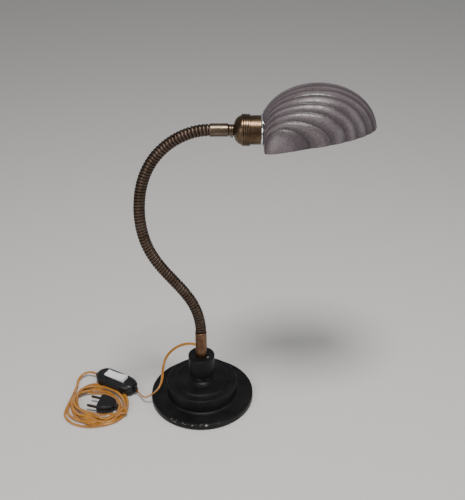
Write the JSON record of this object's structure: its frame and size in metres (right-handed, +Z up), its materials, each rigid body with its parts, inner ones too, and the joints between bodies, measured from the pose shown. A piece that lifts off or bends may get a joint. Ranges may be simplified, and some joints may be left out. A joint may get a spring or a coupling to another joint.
{
  "type": "gooseneck desk lamp",
  "caption": "Desk lamp with a stepped round base, a bendable ribbed metal gooseneck and a ribbed shell shade over its bulb; flex with an inline rocker switch and a plug.",
  "frame": {"origin": "centre of the underside of the base", "axes": "+Z up, +X towards the shade, the gooseneck bends in the XZ plane at rest; -Y is the near side"},
  "size_m": [0.4195, 0.15, 0.4821],
  "materials": {
    "black_enamel": "gloss, chipped at its edges",
    "green_felt": "matt",
    "steel": "zinc plated",
    "aged_brass": "aged, brown",
    "bronzed_hose": "bronzed, worn bright on the crests",
    "nickel": "dull nickel",
    "ceramic": "glazed ceramic",
    "aluminium": "polished",
    "grey_shade": "satin grey",
    "opal_glass": "opal",
    "black_plastic": "gloss",
    "white_plastic": "satin",
    "amber_pvc": "clear amber"
  },
  "bodies": {
    "base": {"base_casting": "black_enamel", "felt_pad": "green_felt", "base_washer": "steel", "base_nut": "steel", "threaded_stem": "steel", "flex_bush": "black_plastic", "collar_screw": "steel", "lower_ferrule": "aged_brass", "flex_to_switch": "amber_pvc", "flex_to_coil": "amber_pvc", "flex_coil": "amber_pvc", "switch_base": "black_plastic", "switch_cover": "black_plastic", "switch_contacts": "aged_brass", "switch_grommets": "black_plastic", "plug_body": "black_plastic", "plug_pins": "nickel", "plug_sleeve": "black_plastic"},
    "rocker": {"switch_rocker": "white_plastic"},
    "link_01": {"gooseneck_link_01": "bronzed_hose"},
    "link_02": {"gooseneck_link_02": "bronzed_hose"},
    "link_03": {"gooseneck_link_03": "bronzed_hose"},
    "link_04": {"gooseneck_link_04": "bronzed_hose"},
    "link_05": {"gooseneck_link_05": "bronzed_hose"},
    "link_06": {"gooseneck_link_06": "bronzed_hose"},
    "link_07": {"gooseneck_link_07": "bronzed_hose"},
    "link_08": {"gooseneck_link_08": "bronzed_hose"},
    "link_09": {"gooseneck_link_09": "bronzed_hose"},
    "link_10": {"gooseneck_link_10": "bronzed_hose"},
    "link_11": {"gooseneck_link_11": "bronzed_hose"},
    "link_12": {"gooseneck_link_12": "bronzed_hose"},
    "link_13": {"gooseneck_link_13": "bronzed_hose"},
    "link_14": {"gooseneck_link_14": "bronzed_hose"},
    "link_15": {"gooseneck_link_15": "bronzed_hose"},
    "link_16": {"gooseneck_link_16": "bronzed_hose"},
    "link_17": {"gooseneck_link_17": "bronzed_hose"},
    "lampholder": {"upper_ferrule": "nickel", "cord_grip_nipple": "nickel", "cord_grip_screw": "steel", "lampholder_cap": "aged_brass", "ribbed_ring": "aged_brass", "lampholder_shell": "aged_brass", "ceramic_insert": "ceramic", "thread_liner": "aged_brass", "centre_contact": "aged_brass", "terminal_screws": "steel", "bulb_contact": "aged_brass", "bulb_cap": "aluminium", "bulb_glass": "opal_glass"},
    "shade": {"shade": "grey_shade", "shade_ring": "aluminium", "shade_lock_ring": "aluminium"}
  },
  "joints": [
    {"name": "gooseneck_in_plane_01", "type": "hinge", "parent": "base", "child": "link_01", "pos_m": [0, 0, 0.119], "axis": [0, 1, 0], "range_deg": [-8, 8]},
    {"name": "gooseneck_sideways_02", "type": "hinge", "parent": "link_01", "child": "link_02", "pos_m": [-0.00201, 0, 0.14088], "axis": [0.9833, 0, 0.1822], "range_deg": [-7, 7]},
    {"name": "gooseneck_in_plane_03", "type": "hinge", "parent": "link_02", "child": "link_03", "pos_m": [-0.00825, 0, 0.16193], "axis": [0, 1, 0], "range_deg": [-8, 8]},
    {"name": "gooseneck_sideways_04", "type": "hinge", "parent": "link_03", "child": "link_04", "pos_m": [-0.01848, 0, 0.18138], "axis": [0.8387, 0, 0.5446], "range_deg": [-7, 7]},
    {"name": "gooseneck_in_plane_05", "type": "hinge", "parent": "link_04", "child": "link_05", "pos_m": [-0.03125, 0, 0.19928], "axis": [0, 1, 0], "range_deg": [-8, 8]},
    {"name": "gooseneck_sideways_06", "type": "hinge", "parent": "link_05", "child": "link_06", "pos_m": [-0.04464, 0, 0.21673], "axis": [0.7986, 0, 0.6018], "range_deg": [-7, 7]},
    {"name": "gooseneck_in_plane_07", "type": "hinge", "parent": "link_06", "child": "link_07", "pos_m": [-0.05694, 0, 0.23496], "axis": [0, 1, 0], "range_deg": [-8, 8]},
    {"name": "gooseneck_sideways_08", "type": "hinge", "parent": "link_07", "child": "link_08", "pos_m": [-0.06666, 0, 0.25467], "axis": [0.9304, 0, 0.3665], "range_deg": [-7, 7]},
    {"name": "gooseneck_in_plane_09", "type": "hinge", "parent": "link_08", "child": "link_09", "pos_m": [-0.0729, 0, 0.27574], "axis": [0, 1, 0], "range_deg": [-8, 8]},
    {"name": "gooseneck_sideways_10", "type": "hinge", "parent": "link_09", "child": "link_10", "pos_m": [-0.07577, 0, 0.29753], "axis": [0.9981, 0, 0.061], "range_deg": [-7, 7]},
    {"name": "gooseneck_in_plane_11", "type": "hinge", "parent": "link_10", "child": "link_11", "pos_m": [-0.07567, 0, 0.31952], "axis": [0, 1, 0], "range_deg": [-8, 8]},
    {"name": "gooseneck_sideways_12", "type": "hinge", "parent": "link_11", "child": "link_12", "pos_m": [-0.07271, 0, 0.3413], "axis": [0.9799, 0, -0.1994], "range_deg": [-7, 7]},
    {"name": "gooseneck_in_plane_13", "type": "hinge", "parent": "link_12", "child": "link_13", "pos_m": [-0.06656, 0, 0.3624], "axis": [0, 1, 0], "range_deg": [-8, 8]},
    {"name": "gooseneck_sideways_14", "type": "hinge", "parent": "link_13", "child": "link_14", "pos_m": [-0.05659, 0, 0.38196], "axis": [0.8387, 0, -0.5446], "range_deg": [-7, 7]},
    {"name": "gooseneck_in_plane_15", "type": "hinge", "parent": "link_14", "child": "link_15", "pos_m": [-0.04262, 0, 0.3989], "axis": [0, 1, 0], "range_deg": [-8, 8]},
    {"name": "gooseneck_sideways_16", "type": "hinge", "parent": "link_15", "child": "link_16", "pos_m": [-0.02526, 0, 0.41235], "axis": [0.5225, 0, -0.8526], "range_deg": [-7, 7]},
    {"name": "gooseneck_in_plane_17", "type": "hinge", "parent": "link_16", "child": "link_17", "pos_m": [-0.00529, 0, 0.42145], "axis": [0, 1, 0], "range_deg": [-8, 8]},
    {"name": "gooseneck_sideways_18", "type": "hinge", "parent": "link_17", "child": "lampholder", "pos_m": [0.01637, 0, 0.42478], "axis": [0, 0, -1], "range_deg": [-7, 7]},
    {"name": "shade_swivel", "type": "hinge", "parent": "lampholder", "child": "shade", "pos_m": [0.08237, 0, 0.42478], "axis": [1, 0, 0], "range_deg": [-90, 90]},
    {"name": "switch_rocker_tilt", "type": "hinge", "parent": "base", "child": "rocker", "pos_m": [-0.1292, 0.01975, 0.0125], "axis": [0.5, 0.866, 0], "range_deg": [0, 10]}
  ],
  "couplings": [
    {"joint": "gooseneck_in_plane_03", "follows": "gooseneck_in_plane_01", "ratio": 1},
    {"joint": "gooseneck_sideways_04", "follows": "gooseneck_sideways_02", "ratio": 1},
    {"joint": "gooseneck_in_plane_05", "follows": "gooseneck_in_plane_01", "ratio": 1},
    {"joint": "gooseneck_sideways_06", "follows": "gooseneck_sideways_02", "ratio": 1},
    {"joint": "gooseneck_in_plane_07", "follows": "gooseneck_in_plane_01", "ratio": 1},
    {"joint": "gooseneck_sideways_08", "follows": "gooseneck_sideways_02", "ratio": 1},
    {"joint": "gooseneck_in_plane_09", "follows": "gooseneck_in_plane_01", "ratio": 1},
    {"joint": "gooseneck_sideways_12", "follows": "gooseneck_sideways_10", "ratio": 1},
    {"joint": "gooseneck_in_plane_13", "follows": "gooseneck_in_plane_11", "ratio": 1},
    {"joint": "gooseneck_sideways_14", "follows": "gooseneck_sideways_10", "ratio": 1},
    {"joint": "gooseneck_in_plane_15", "follows": "gooseneck_in_plane_11", "ratio": 1},
    {"joint": "gooseneck_sideways_16", "follows": "gooseneck_sideways_10", "ratio": 1},
    {"joint": "gooseneck_in_plane_17", "follows": "gooseneck_in_plane_11", "ratio": 1},
    {"joint": "gooseneck_sideways_18", "follows": "gooseneck_sideways_10", "ratio": 1}
  ]
}
